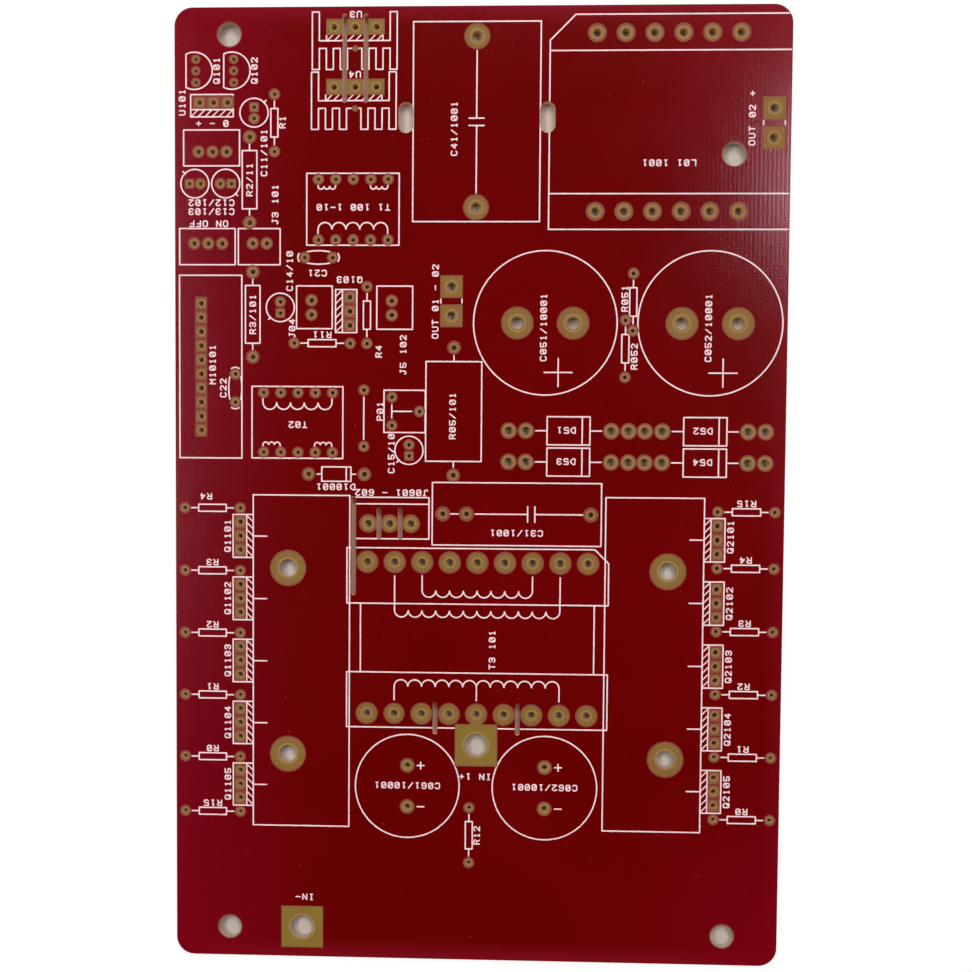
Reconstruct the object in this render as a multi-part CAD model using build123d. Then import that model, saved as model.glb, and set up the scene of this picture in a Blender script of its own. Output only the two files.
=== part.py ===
from build123d import *
from collections import namedtuple
import os

# A bare circuit board for a power inverter: a routed sheet of glass-fibre laminate, a film of
# solder mask with a window round every lead hole, and the printed outlines of the larger parts.
# It lies with its component side up: X across, Y along, the origin under its middle.

# The sheet, the film of mask on it and the ink on the mask
BOARD_WIDTH = 110.0
BOARD_LENGTH = 172.0
BOARD_THICKNESS = 1.6
CORNER_RADIUS = 3.3
MASK_THICKNESS = 0.04
MASK_SETBACK = 0.12
INK_THICKNESS = 0.03
INK_LINE = 0.32

# Screw holes of the board itself: one in three corners, and one below the fourth
MOUNTING_HOLE = 4.2
MOUNTING_SIDE_INSET = 9.9
MOUNTING_UPPER_INSET = 4.8
MOUNTING_LOWER_INSET = 5.3
MOUNTING_RIGHT_INSET = 26.1

# Bolted cable lugs: a plain hole in a square window, one below the main transformer's lower leads
LUG_HOLE = 4.2
LUG_PAD = 7.8
SUPPLY_LUG_DROP = 5.66
GROUND_LUG_SHARES = (-0.2885, -0.468)

# Slots routed between leads at high voltage, and wide ones for a cable tie
SLOT_WIDTH = 0.85
TIE_SLOT_WIDTH = 2.75
TIE_SLOT_LENGTH = 5.5

# What repeats by the hundred is a polygon: few sides for lead holes, more for large windows
FULL_TURN = 360
FLAT_ALONG = 90
HOLE_SIDES = 5
FINE_SIDES = 6
POWER_SIDES = 8
RING_SIDES = 14

# Lead holes and the windows round them, by the kind of lead
FINE_HOLE = 0.7
FINE_PAD = 2.1
STOUT_HOLE = 0.9
STOUT_PAD = 2.5
PLUG_HOLE = 0.85
PLUG_PAD = 2.3
TAB_HOLE = 0.9
TAB_PAD = 2.1
GRID = 2.54

# Parts with a lead at each end, by their middle; True where they run along the board
AXIAL_SPAN = 10.16
AXIAL_SHARES = [
    (-0.336, 0.3813, True),
    (-0.1833, 0.1825, True),
    (-0.257, 0.1532, False),
    (0.2506, 0.1968, True),
    (0.2387, 0.1486, True),
    (-0.0102, -0.3658, True),
    (-0.1879, 0.075, True),
]
RECTIFIER_SHARES = (-0.2329, 0.0162)
LONG_AXIAL_SPAN = 15.24
LONG_AXIAL_SHARES = [(-0.3768, 0.3227, True), (-0.3716, 0.183, True)]
DISC_SPAN = 5.08
DISC_SHARES = [(-0.2631, 0.2423, False), (-0.4005, 0.1059, True)]

# Small upright capacitors: a square and a round window; the sign says which end is square
CAN_SPAN = 2.0
CAN_PAD = 1.75
CAN_SHARES = [
    (-0.3694, 0.3918, True, 1),
    (-0.467, 0.3187, False, -1),
    (-0.4161, 0.3188, False, 1),
    (-0.3261, 0.1903, True, -1),
    (-0.1132, 0.0417, True, -1),
]

# Parts with three leads in line
TRIPLE_COUNT = 3
TRANSISTOR_PITCH = 2.05
TRANSISTOR_PAD = 1.75
TRANSISTOR_SHARES = [(-0.4651, 0.435), (-0.403, 0.435)]
REGULATOR_SHARES = (-0.4364, 0.4026)
SWITCH_SHARES = (-0.2116, 0.1866)

# Plug headers, with their number of leads
HEADER_SHARES = [
    (-0.4381, 0.3517, 3, False),
    (-0.4453, 0.2568, 3, False),
    (-0.3602, 0.2569, 2, False),
    (-0.2747, 0.1904, 2, True),
    (-0.1426, 0.1901, 2, True),
]

# Control module on one long row
MODULE_LEAD_COUNT = 10
MODULE_WIDTH = 11.35
MODULE_LENGTH = 32.9
MODULE_OFFSET = 1.77
MODULE_SHARES = (-0.4573, 0.128)

# Trimmer: two leads in line and the wiper's lead beside them
TRIMMER_SPAN = 5.0
TRIMMER_PITCH = 5.08
TRIMMER_SHARES = (-0.119, 0.0824)

# Small pulse transformers on two rows
PULSE_LEAD_COUNT = 5
PULSE_PITCH = 3.14
PULSE_ROWS = 10.78
PULSE_SHARES = [(-0.2066, 0.2919), (-0.2967, 0.0701)]

# Power devices on extruded coolers: a locating pip below each, and two slots past both
COOLED_HOLE = 1.0
COOLED_PAD = 2.9
COOLED_PITCH = 3.81
COOLED_PIP = 1.2
COOLED_PIP_DROP = 3.8
COOLED_SLOT_LENGTH = 15.8
COOLED_SHARES = [(-0.2038, 0.4793), (-0.2038, 0.418)]
COOLED_SLOT_SHARES = (-0.2038, 0.4473)

# Output terminals, two leads each
OUTPUT_HOLE = 1.5
OUTPUT_PAD = 4.1
OUTPUT_PITCH = 5.2
OUTPUT_SHARES = [(-0.045, 0.1973), (0.4728, 0.38)]

# Wire-wound resistor
WIRE_WOUND_SPAN = 22.9
WIRE_WOUND_WIDTH = 10.05
WIRE_WOUND_LENGTH = 17.9
WIRE_WOUND_SHARES = (-0.0402, 0.0825)

# Reservoir capacitors and supply capacitors, a pair of each
STORE_HOLE = 2.2
STORE_PAD = 5.9
STORE_SPAN = 10.0
STORE_DIAMETER = 25.7
STORE_PITCH = 29.38
STORE_SHARES = (0.24175, 0.1749)
SUPPLY_HOLE = 1.0
SUPPLY_PAD = 2.75
SUPPLY_SPAN = 7.6
SUPPLY_DIAMETER = 19.0
SUPPLY_PITCH = 25.03
SUPPLY_SHARES = (0.0006, -0.314)

# Bridge diodes, two rows of two: twin leads at each end take either of two lead spans
DIODE_HOLE = 1.4
DIODE_PAD = 3.0
DIODE_INNER_SPAN = 15.3
DIODE_OUTER_SPAN = 21.5
DIODE_PITCH = 24.42
DIODE_ROWS = 5.6
DIODE_LENGTH = 7.69
DIODE_WIDTH = 5.04
DIODE_SHARES = (0.259, 0.0468)

# Output film capacitor, tied down through a slot at each side
FILM_HOLE = 1.75
FILM_PAD = 4.7
FILM_SPAN = 30.1
FILM_WIDTH = 22.7
FILM_LENGTH = 35.2
FILM_TIE_GAP = 1.3
FILM_TIE_RISE = 0.8
FILM_SHARES = (-0.006, 0.3817)

# Choke on two rows, in an outline with one corner cut off and a line along each row
CHOKE_HOLE = 1.4
CHOKE_PAD = 3.4
CHOKE_LEAD_COUNT = 6
CHOKE_PITCH = 5.08
CHOKE_ROWS = 31.3
CHOKE_WIDTH = 42.0
CHOKE_LENGTH = 37.7
CHOKE_CHAMFER = 4.5
CHOKE_BAND = 6.3
CHOKE_SHARES = (0.3028, 0.381)

# Terminal block with slots between its leads
TERMINAL_HOLE = 1.2
TERMINAL_PAD = 2.95
TERMINAL_PITCH = 3.86
TERMINAL_WIDTH = 13.9
TERMINAL_DEPTH = 7.5
TERMINAL_OFFSET = 0.98
TERMINAL_SHIFT = 0.2
TERMINAL_LIP = 1.2
TERMINAL_SLOT_LENGTH = 5.8
TERMINAL_SHARES = (-0.1446, -0.0353)

# Link capacitor with a choice of two lead spans
LINK_HOLE = 0.9
LINK_PAD = 2.75
LINK_LONG_SPAN = 26.7
LINK_SHORT_SPAN = 22.4
LINK_WIDTH = 30.5
LINK_DEPTH = 11.3
LINK_SHARES = (0.0644, -0.0246)

# Main transformer: a row of leads under each end block, the core's waist between the blocks,
# a slot at each side of the middle leads, and a long one beside the upper block
CORE_HOLE = 1.25
CORE_PAD = 3.9
CORE_LEAD_COUNT = 9
CORE_PITCH = 5.0
CORE_ROWS = 27.65
CORE_WIDTH = 47.4
CORE_BLOCK = 10.1
CORE_BLOCK_OFFSET = 2.5
CORE_CHAMFER = 2.5
CORE_WAIST = 42.4
CORE_SLOT_PITCHES = 3
CORE_SLOT_LENGTH = 5.9
CORE_SLOT_DROP = 0.8
CORE_SIDE_SLOT_LENGTH = 18.0
CORE_SIDE_SLOT_INSET = 1.2
CORE_SIDE_SLOT_RISE = 2.84
CORE_SHARES = (0.0006, -0.1562)

# Heat-sink banks, one at each side: transistors along the outer edge, gate resistors between
HEAT_SINK_HOLE = 3.2
HEAT_SINK_PAD = 6.7
HEAT_SINK_WIDTH = 17.65
HEAT_SINK_LENGTH = 60.6
HEAT_SINK_SCREW_OFFSET = 2.43
HEAT_SINK_SCREW_SPAN = 34.1
HEAT_SINK_SHARES = (0.2906, -0.1824)
BANK_COUNT = 5
BANK_PITCH = 11.4
BANK_GAP = 2.4
GATE_OFFSET = 5.07

Lead = namedtuple("Lead", "hole pad sides")
fine_lead = Lead(FINE_HOLE, FINE_PAD, FINE_SIDES)
transistor_lead = Lead(FINE_HOLE, TRANSISTOR_PAD, HOLE_SIDES)
stout_lead = Lead(STOUT_HOLE, STOUT_PAD, FINE_SIDES)
plug_lead = Lead(PLUG_HOLE, PLUG_PAD, FINE_SIDES)
supply_lead = Lead(SUPPLY_HOLE, SUPPLY_PAD, FINE_SIDES)
diode_lead = Lead(DIODE_HOLE, DIODE_PAD, FINE_SIDES)
choke_lead = Lead(CHOKE_HOLE, CHOKE_PAD, FINE_SIDES)
terminal_lead = Lead(TERMINAL_HOLE, TERMINAL_PAD, FINE_SIDES)
link_lead = Lead(LINK_HOLE, LINK_PAD, FINE_SIDES)
core_lead = Lead(CORE_HOLE, CORE_PAD, POWER_SIDES)
film_lead = Lead(FILM_HOLE, FILM_PAD, POWER_SIDES)
store_lead = Lead(STORE_HOLE, STORE_PAD, POWER_SIDES)

lead_holes = []
screw_holes = []
slots = []
windows = []
ink = []


def spot(across_share, along_share):
    """A place on the board, from its shares of the width and the length."""
    return Vector(across_share * BOARD_WIDTH, along_share * BOARD_LENGTH)


def step(along, length):
    """A move of the given length, along the board or across it."""
    return Vector(0, length) if along else Vector(length, 0)


def places(middle, count, pitch, along):
    """Evenly spaced places in line, about their middle."""
    return [middle + step(along, (n - (count - 1) / 2) * pitch) for n in range(count)]


def lead_hole(place, diameter):
    """A hole for one lead, through the sheet."""
    lead_holes.append(Pos(place) * RegularPolygon(diameter / 2, HOLE_SIDES))


def square_lead(place, diameter, pad):
    """One lead in a square window."""
    lead_hole(place, diameter)
    windows.append(Pos(place) * Rectangle(pad, pad))


def round_lead(place, lead, along=False):
    """One lead in a round window."""
    lead_hole(place, lead.hole)
    round_window(place, lead.pad, lead.sides, along)


def round_row(middle, count, pitch, lead, along=False):
    """Leads in line, each in its own round window."""
    for place in places(middle, count, pitch, along):
        round_lead(place, lead, along)


def tab_row(middle, count, along=False):
    """Leads in line on the grid, in one long window."""
    for place in places(middle, count, GRID, along):
        lead_hole(place, TAB_HOLE)
    run = count * GRID
    size = (TAB_PAD, run) if along else (run, TAB_PAD)
    windows.append(Pos(middle) * Rectangle(*size))


def screw_hole(place, diameter):
    """A plain round hole for a screw, through the sheet."""
    screw_holes.append(Pos(place) * Circle(diameter / 2))


def round_window(place, diameter, sides, along=False):
    """A window in the mask that a circle just fits, turned so that flat sides face along its row."""
    turn = (FLAT_ALONG if along else 0) - FULL_TURN / (2 * sides)
    outline = RegularPolygon(diameter / 2, sides, major_radius=False)
    windows.append(Pos(place) * Rot(Z=turn) * outline)


def cable_lug(place):
    """A bolt hole in a square window."""
    screw_hole(place, LUG_HOLE)
    windows.append(Pos(place) * Rectangle(LUG_PAD, LUG_PAD))


def slot(middle, length, width=SLOT_WIDTH):
    """A slot along the board, its round ends drawn with as few sides as a lead hole."""
    end = Vector(0, (length - width) / 2)
    caps = [Pos(middle + way * end) * RegularPolygon(width / 2, FINE_SIDES) for way in (-1, 1)]
    slots.append(make_hull([edge for cap in caps for edge in cap.edges()]))


def box_outline(width, length):
    """The printed outline of a box-shaped part, about the origin."""
    outer = Rectangle(width + INK_LINE, length + INK_LINE)
    return outer - Rectangle(width - INK_LINE, length - INK_LINE)


def cut_corner_outline(width, length, cut, side):
    """A box outline with one upper corner cut off: side -1 at the left, 1 at the right."""
    corner = Vector(side * width / 2, length / 2)
    path = Polyline(
        corner - Vector(side * cut, 0),
        Vector(-corner.X, corner.Y),
        -corner,
        Vector(corner.X, -corner.Y),
        corner - Vector(0, cut),
        close=True,
    )
    shape = make_face(path)
    outer = offset(shape, INK_LINE / 2, kind=Kind.INTERSECTION)
    return outer - offset(shape, -INK_LINE / 2, kind=Kind.INTERSECTION)


def ring_outline(diameter):
    """The printed outline of a round part, about the origin."""
    outer = RegularPolygon((diameter + INK_LINE) / 2, RING_SIDES)
    return outer - RegularPolygon((diameter - INK_LINE) / 2, RING_SIDES)


def bank(side):
    """One heat sink with its screws, transistors and gate resistors; side 1 is at the right."""
    across_share, along_share = HEAT_SINK_SHARES
    middle = spot(side * across_share, along_share)
    ink.append(Pos(middle) * box_outline(HEAT_SINK_WIDTH, HEAT_SINK_LENGTH))
    screws = middle + Vector(side * HEAT_SINK_SCREW_OFFSET, 0)
    for place in places(screws, 2, HEAT_SINK_SCREW_SPAN, True):
        screw_hole(place, HEAT_SINK_HOLE)
        round_window(place, HEAT_SINK_PAD, RING_SIDES)
    column = middle + Vector(side * (HEAT_SINK_WIDTH / 2 + BANK_GAP), 0)
    devices = places(column, BANK_COUNT, BANK_PITCH, True)
    resistors = [device - Vector(0, side * GATE_OFFSET) for device in devices]
    last = devices[-1] if side > 0 else devices[0]
    resistors.append(last + Vector(0, side * GATE_OFFSET))
    for device in devices:
        tab_row(device, TRIPLE_COUNT, along=True)
    for inner_end in resistors:
        round_row(inner_end + Vector(side * AXIAL_SPAN / 2, 0), 2, AXIAL_SPAN, fine_lead)


def sheet(setback, *cuts):
    """The board's outline, drawn in from the edge by a setback, with every cut taken out."""
    width = BOARD_WIDTH - 2 * setback
    length = BOARD_LENGTH - 2 * setback
    return RectangleRounded(width, length, CORNER_RADIUS - setback) - sum(cuts, [])


# Screw holes and the ground lug
column = BOARD_WIDTH / 2 - MOUNTING_SIDE_INSET
upper = BOARD_LENGTH / 2 - MOUNTING_UPPER_INSET
lower = MOUNTING_LOWER_INSET - BOARD_LENGTH / 2
right_upper = BOARD_LENGTH / 2 - MOUNTING_RIGHT_INSET
for place in ((-column, upper), (-column, lower), (column, lower), (column, right_upper)):
    screw_hole(Vector(*place), MOUNTING_HOLE)
    round_window(Vector(*place), MOUNTING_HOLE + MASK_SETBACK, POWER_SIDES)
cable_lug(spot(*GROUND_LUG_SHARES))

# Parts with two leads
for across_share, along_share, along in AXIAL_SHARES:
    round_row(spot(across_share, along_share), 2, AXIAL_SPAN, fine_lead, along)
for across_share, along_share, along in LONG_AXIAL_SHARES:
    round_row(spot(across_share, along_share), 2, LONG_AXIAL_SPAN, stout_lead, along)
round_row(spot(*RECTIFIER_SHARES), 2, AXIAL_SPAN, stout_lead)
for across_share, along_share, along in DISC_SHARES:
    round_row(spot(across_share, along_share), 2, DISC_SPAN, fine_lead, along)
for across_share, along_share, along, square_end in CAN_SHARES:
    reach = step(along, square_end * CAN_SPAN / 2)
    square_lead(spot(across_share, along_share) + reach, FINE_HOLE, CAN_PAD)
    round_lead(spot(across_share, along_share) - reach, fine_lead, along)

# Small parts with more leads
for shares in TRANSISTOR_SHARES:
    round_row(spot(*shares), TRIPLE_COUNT, TRANSISTOR_PITCH, transistor_lead, along=True)
tab_row(spot(*REGULATOR_SHARES), TRIPLE_COUNT)
tab_row(spot(*SWITCH_SHARES), TRIPLE_COUNT, along=True)
for across_share, along_share, count, along in HEADER_SHARES:
    round_row(spot(across_share, along_share), count, GRID, plug_lead, along)
trimmer = spot(*TRIMMER_SHARES)
round_row(trimmer - Vector(TRIMMER_SPAN / 2, 0), 2, TRIMMER_PITCH, fine_lead, along=True)
round_lead(trimmer + Vector(TRIMMER_SPAN / 2, 0), fine_lead)

# Control module
module = spot(*MODULE_SHARES)
tab_row(module, MODULE_LEAD_COUNT, along=True)
ink.append(Pos(module + Vector(MODULE_OFFSET, 0)) * box_outline(MODULE_WIDTH, MODULE_LENGTH))

# Pulse transformers
for shares in PULSE_SHARES:
    for leads in places(spot(*shares), 2, PULSE_ROWS, True):
        round_row(leads, PULSE_LEAD_COUNT, PULSE_PITCH, fine_lead)

# Power devices on coolers, and the slots that run between the leads of both
for shares in COOLED_SHARES:
    for place in places(spot(*shares), TRIPLE_COUNT, COOLED_PITCH, False):
        square_lead(place, COOLED_HOLE, COOLED_PAD)
    round_window(spot(*shares) - Vector(0, COOLED_PIP_DROP), COOLED_PIP, FINE_SIDES)
for place in places(spot(*COOLED_SLOT_SHARES), 2, COOLED_PITCH, False):
    slot(place, COOLED_SLOT_LENGTH)

# Output terminals and the wire-wound resistor
for shares in OUTPUT_SHARES:
    for place in places(spot(*shares), 2, OUTPUT_PITCH, True):
        square_lead(place, OUTPUT_HOLE, OUTPUT_PAD)
wire_wound = spot(*WIRE_WOUND_SHARES)
round_row(wire_wound, 2, WIRE_WOUND_SPAN, stout_lead, along=True)
ink.append(Pos(wire_wound) * box_outline(WIRE_WOUND_WIDTH, WIRE_WOUND_LENGTH))

# Round capacitors
for place in places(spot(*STORE_SHARES), 2, STORE_PITCH, False):
    round_row(place, 2, STORE_SPAN, store_lead)
    ink.append(Pos(place) * ring_outline(STORE_DIAMETER))
for place in places(spot(*SUPPLY_SHARES), 2, SUPPLY_PITCH, False):
    round_row(place, 2, SUPPLY_SPAN, supply_lead, along=True)
    ink.append(Pos(place) * ring_outline(SUPPLY_DIAMETER))

# Bridge diodes
for row in places(spot(*DIODE_SHARES), 2, DIODE_ROWS, True):
    for place in places(row, 2, DIODE_PITCH, False):
        round_row(place, 2, DIODE_INNER_SPAN, diode_lead)
        round_row(place, 2, DIODE_OUTER_SPAN, diode_lead)
        ink.append(Pos(place) * box_outline(DIODE_LENGTH, DIODE_WIDTH))

# Output film capacitor and its tie slots
film = spot(*FILM_SHARES)
round_row(film, 2, FILM_SPAN, film_lead, along=True)
ink.append(Pos(film) * box_outline(FILM_WIDTH, FILM_LENGTH))
tie = film + Vector(0, FILM_TIE_RISE)
for place in places(tie, 2, FILM_WIDTH + 2 * FILM_TIE_GAP, False):
    slot(place, TIE_SLOT_LENGTH, TIE_SLOT_WIDTH)

# Choke
choke = spot(*CHOKE_SHARES)
for leads in places(choke, 2, CHOKE_ROWS, True):
    round_row(leads, CHOKE_LEAD_COUNT, CHOKE_PITCH, choke_lead)
for line in places(choke, 2, CHOKE_LENGTH - 2 * CHOKE_BAND, True):
    ink.append(Pos(line) * Rectangle(CHOKE_WIDTH, INK_LINE))
ink.append(Pos(choke) * cut_corner_outline(CHOKE_WIDTH, CHOKE_LENGTH, CHOKE_CHAMFER, -1))

# Terminal block
terminal = spot(*TERMINAL_SHARES)
round_row(terminal, TRIPLE_COUNT, TERMINAL_PITCH, terminal_lead)
for place in places(terminal, 2, TERMINAL_PITCH, False):
    slot(place, TERMINAL_SLOT_LENGTH)
block = terminal + Vector(TERMINAL_SHIFT, TERMINAL_OFFSET)
lip = block + Vector(0, TERMINAL_DEPTH / 2 - TERMINAL_LIP)
ink.append(Pos(block) * box_outline(TERMINAL_WIDTH, TERMINAL_DEPTH))
ink.append(Pos(lip) * Rectangle(TERMINAL_WIDTH, INK_LINE))

# Link capacitor
link = spot(*LINK_SHARES)
right_lead = link + Vector(LINK_LONG_SPAN / 2, 0)
for reach in (0, LINK_SHORT_SPAN, LINK_LONG_SPAN):
    round_lead(right_lead - Vector(reach, 0), link_lead)
ink.append(Pos(link) * box_outline(LINK_WIDTH, LINK_DEPTH))

# Main transformer, and the supply lug at its middle lead
core = spot(*CORE_SHARES)
lower_row, upper_row = places(core, 2, CORE_ROWS, True)
for leads in (lower_row, upper_row):
    round_row(leads, CORE_LEAD_COUNT, CORE_PITCH, core_lead)
lower_block = lower_row + Vector(0, CORE_BLOCK_OFFSET)
upper_block = upper_row - Vector(0, CORE_BLOCK_OFFSET)
ink.append(Pos(lower_block) * box_outline(CORE_WIDTH, CORE_BLOCK))
ink.append(Pos(upper_block) * cut_corner_outline(CORE_WIDTH, CORE_BLOCK, CORE_CHAMFER, 1))
waist_length = CORE_ROWS - 2 * CORE_BLOCK_OFFSET - CORE_BLOCK
for line in places(core, 2, CORE_WAIST, False):
    ink.append(Pos(line) * Rectangle(INK_LINE, waist_length))
slot_row = lower_row - Vector(0, CORE_SLOT_DROP)
for place in places(slot_row, 2, CORE_SLOT_PITCHES * CORE_PITCH, False):
    slot(place, CORE_SLOT_LENGTH)
side = Vector(CORE_SIDE_SLOT_INSET - CORE_WIDTH / 2, CORE_SIDE_SLOT_RISE)
slot(upper_row + side, CORE_SIDE_SLOT_LENGTH)
cable_lug(lower_row - Vector(0, SUPPLY_LUG_DROP))

# Heat-sink banks
bank(-1)
bank(1)

# The sheet has the holes and slots, the mask has the windows and slots, and the ink keeps clear
laminate = extrude(sheet(0, lead_holes, screw_holes, slots), BOARD_THICKNESS)
mask = extrude(sheet(MASK_SETBACK, windows, slots), MASK_THICKNESS)
legend = extrude((Sketch() + ink) - (windows + slots), INK_THICKNESS)

os.makedirs("parts", exist_ok=True)
export_step(laminate, "parts/laminate.step")
export_step(Pos(Z=BOARD_THICKNESS) * mask, "parts/solder_mask.step")
export_step(Pos(Z=BOARD_THICKNESS + MASK_THICKNESS) * legend, "parts/legend.step")
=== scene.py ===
import math

import bpy
from mathutils import Matrix, Vector
from mathutils.geometry import delaunay_2d_cdt
from mathutils.kdtree import KDTree


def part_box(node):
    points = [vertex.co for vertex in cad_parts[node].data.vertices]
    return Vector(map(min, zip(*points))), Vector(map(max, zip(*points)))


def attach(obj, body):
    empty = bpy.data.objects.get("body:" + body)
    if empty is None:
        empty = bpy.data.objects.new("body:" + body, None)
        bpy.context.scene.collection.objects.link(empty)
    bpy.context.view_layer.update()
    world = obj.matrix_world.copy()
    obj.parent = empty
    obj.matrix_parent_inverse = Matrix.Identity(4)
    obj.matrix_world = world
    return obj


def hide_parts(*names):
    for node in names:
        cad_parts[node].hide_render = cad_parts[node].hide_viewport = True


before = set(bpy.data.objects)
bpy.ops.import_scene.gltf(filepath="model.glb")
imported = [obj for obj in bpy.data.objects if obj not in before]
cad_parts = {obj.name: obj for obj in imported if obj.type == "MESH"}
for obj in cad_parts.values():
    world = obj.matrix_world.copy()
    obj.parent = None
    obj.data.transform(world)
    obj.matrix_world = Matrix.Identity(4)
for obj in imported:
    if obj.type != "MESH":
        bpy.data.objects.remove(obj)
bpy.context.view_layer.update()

# The sheet of laminate
# Woven glass in epoxy, 1.6 mm thick, routed to its outline and drilled for every lead and screw. It has
# copper on the solder side alone, so bare resin shows in the windows, in the holes and at the edge.
MM = 0.001
TINY = 1e-7
low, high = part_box("laminate")
SHEET_TOP = high.z / MM
FOIL = 0.05
BOARD_WIDTH = (high.x - low.x) / MM
BOARD_LENGTH = (high.y - low.y) / MM
HEXAGON_RISE = math.sqrt(3) / 2
ROUND_STEPS = 28
# Each ring round a drilled hole: its share of the disc's reach, and how far the pale disc and the painted
# highlight at its rim show.
DISC_RINGS = (
    (0.0, 1.0, 0.0), (0.7, 1.0, 0.0), (0.88, 1.0, 1.0),
    (1.02, 0.4, 1.0), (1.2, 0.0, 0.0), (1.9, 0.0, 0.0),
)
DISC_LEAST, DISC_SHARE, DISC_SCREW = 0.2, 0.28, 0.27
# The painted highlight round a screw hole is made this many times stronger.
SCREW_EDGE_HIGHLIGHT = 2.2
RING_MATCH = 0.03
# How far the resin is browned, by the radius that a hole stays under.
BROWNING = ((0.48, 1.0), (0.61, 0.35), (0.64, 0.42), (0.72, 0.7), (1.2, 0.4), (1.7, 0.3), (3.0, 0.0))
SCREW_DIAMETER = 3.0
SCREW_WALL = 0.5
SLOT_SHAPE = 1.5
UPRIGHT_FACE = 0.5


def outlines(node):
    """The closed outlines of a flat CAD piece's upper face, in millimetres."""
    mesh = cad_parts[node].data
    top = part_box(node)[1].z
    sides = set()
    for face in mesh.polygons:
        corners = [mesh.vertices[index].co for index in face.vertices]
        if all(top - corner.z < TINY for corner in corners):
            flat = [(round(c.x / MM, 4), round(c.y / MM, 4)) for c in corners]
            sides.update(zip(flat, flat[1:] + flat[:1]))
    following = {a: b for a, b in sides if (b, a) not in sides}
    loops = []
    while following:
        start, point = following.popitem()
        loop = [start]
        while point != start:
            loop.append(point)
            point = following.pop(point)
        loops.append([Vector(point) for point in loop])
    return sorted(loops, key=spread, reverse=True)


def spread(loop):
    """How far a loop reaches across and along, added up."""
    across = [point.x for point in loop]
    along = [point.y for point in loop]
    return max(across) - min(across) + max(along) - min(along)


def middle(loop):
    """The middle of the box round a loop, and half the box's size."""
    least = Vector((min(p.x for p in loop), min(p.y for p in loop)))
    most = Vector((max(p.x for p in loop), max(p.y for p in loop)))
    return (least + most) / 2, (most - least) / 2


def circle(centre, radius, steps=ROUND_STEPS):
    """A round outline."""
    turns = [math.tau * step / steps for step in range(steps)]
    return [centre + radius * Vector((math.cos(turn), math.sin(turn))) for turn in turns]


def rectangle(centre, half):
    """A square-cornered outline, from its middle and half its size."""
    return [centre + Vector((x * half.x, y * half.y)) for x, y in ((-1, -1), (1, -1), (1, 1), (-1, 1))]


def long_hole(loop):
    """A slot with true round ends, from the few-sided one of the CAD piece."""
    centre, half = middle(loop)
    radius = half.x
    run = Vector((0, half.y - radius * HEXAGON_RISE))
    steps = ROUND_STEPS // 2
    turns = [math.pi * step / steps for step in range(steps + 1)]
    cap = [radius * Vector((math.cos(turn), math.sin(turn))) for turn in turns]
    return [centre + run + point for point in cap] + [centre - run - point for point in cap]


def region(shapes, cuts):
    """Triangles over all that lies inside the shapes and outside the cuts."""
    corners = []
    faces = []
    for outline in shapes + cuts:
        faces.append(range(len(corners), len(corners) + len(outline)))
        corners += outline
    points, _, triangles, _, _, inside = delaunay_2d_cdt(corners, [], [list(f) for f in faces], 1, TINY)
    kept = [t for t, of in zip(triangles, inside) if of and max(of) < len(shapes)]
    return points, kept


def flat_solid(name, points, triangles, bottom, top):
    """A flat closed piece that rides on the board: both faces, and a wall along every free edge."""
    used = sorted({index for triangle in triangles for index in triangle})
    place = {index: count for count, index in enumerate(used)}
    count = len(used)
    vertices = [(points[i].x * MM, points[i].y * MM, top * MM) for i in used]
    vertices += [(points[i].x * MM, points[i].y * MM, bottom * MM) for i in used]
    faces = []
    sides = set()
    for triangle in triangles:
        a, b, c = (place[index] for index in triangle)
        faces += [(a, b, c), (c + count, b + count, a + count)]
        sides.update(((a, b), (b, c), (c, a)))
    for a, b in sides:
        if (b, a) not in sides:
            faces.append((b, a, a + count, b + count))
    mesh = bpy.data.meshes.new(name)
    mesh.from_pydata(vertices, [], faces)
    piece = bpy.data.objects.new(name, mesh)
    bpy.context.collection.objects.link(piece)
    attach(piece, "root")
    return piece


sheet_outline, *sheet_loops = outlines("laminate")
lead_holes = []
screw_holes = []
slots = []
for loop in sheet_loops:
    centre, half = middle(loop)
    if half.y > half.x * SLOT_SHAPE:
        slots.append(long_hole(loop))
    else:
        centre = sum(loop, Vector((0, 0))) / len(loop)
        radius = (loop[0] - centre).length
        kind = screw_holes if 2 * radius > SCREW_DIAMETER else lead_holes
        kind.append((centre, radius))
holes = lead_holes + screw_holes


def disc_reach(radius):
    """How far the pale disc round a drilled hole reaches past the hole."""
    if 2 * radius > SCREW_DIAMETER:
        return DISC_SCREW
    return DISC_LEAST + DISC_SHARE * radius


shapes = [sheet_outline]
for centre, radius in holes:
    shapes += [circle(centre, radius + share * disc_reach(radius)) for share, _, _ in DISC_RINGS[1:]]
points, triangles = region(shapes, [circle(*hole) for hole in holes] + slots)
laminate = flat_solid("laminate_sheet", points, triangles, FOIL, SHEET_TOP)
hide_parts("laminate")

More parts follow.
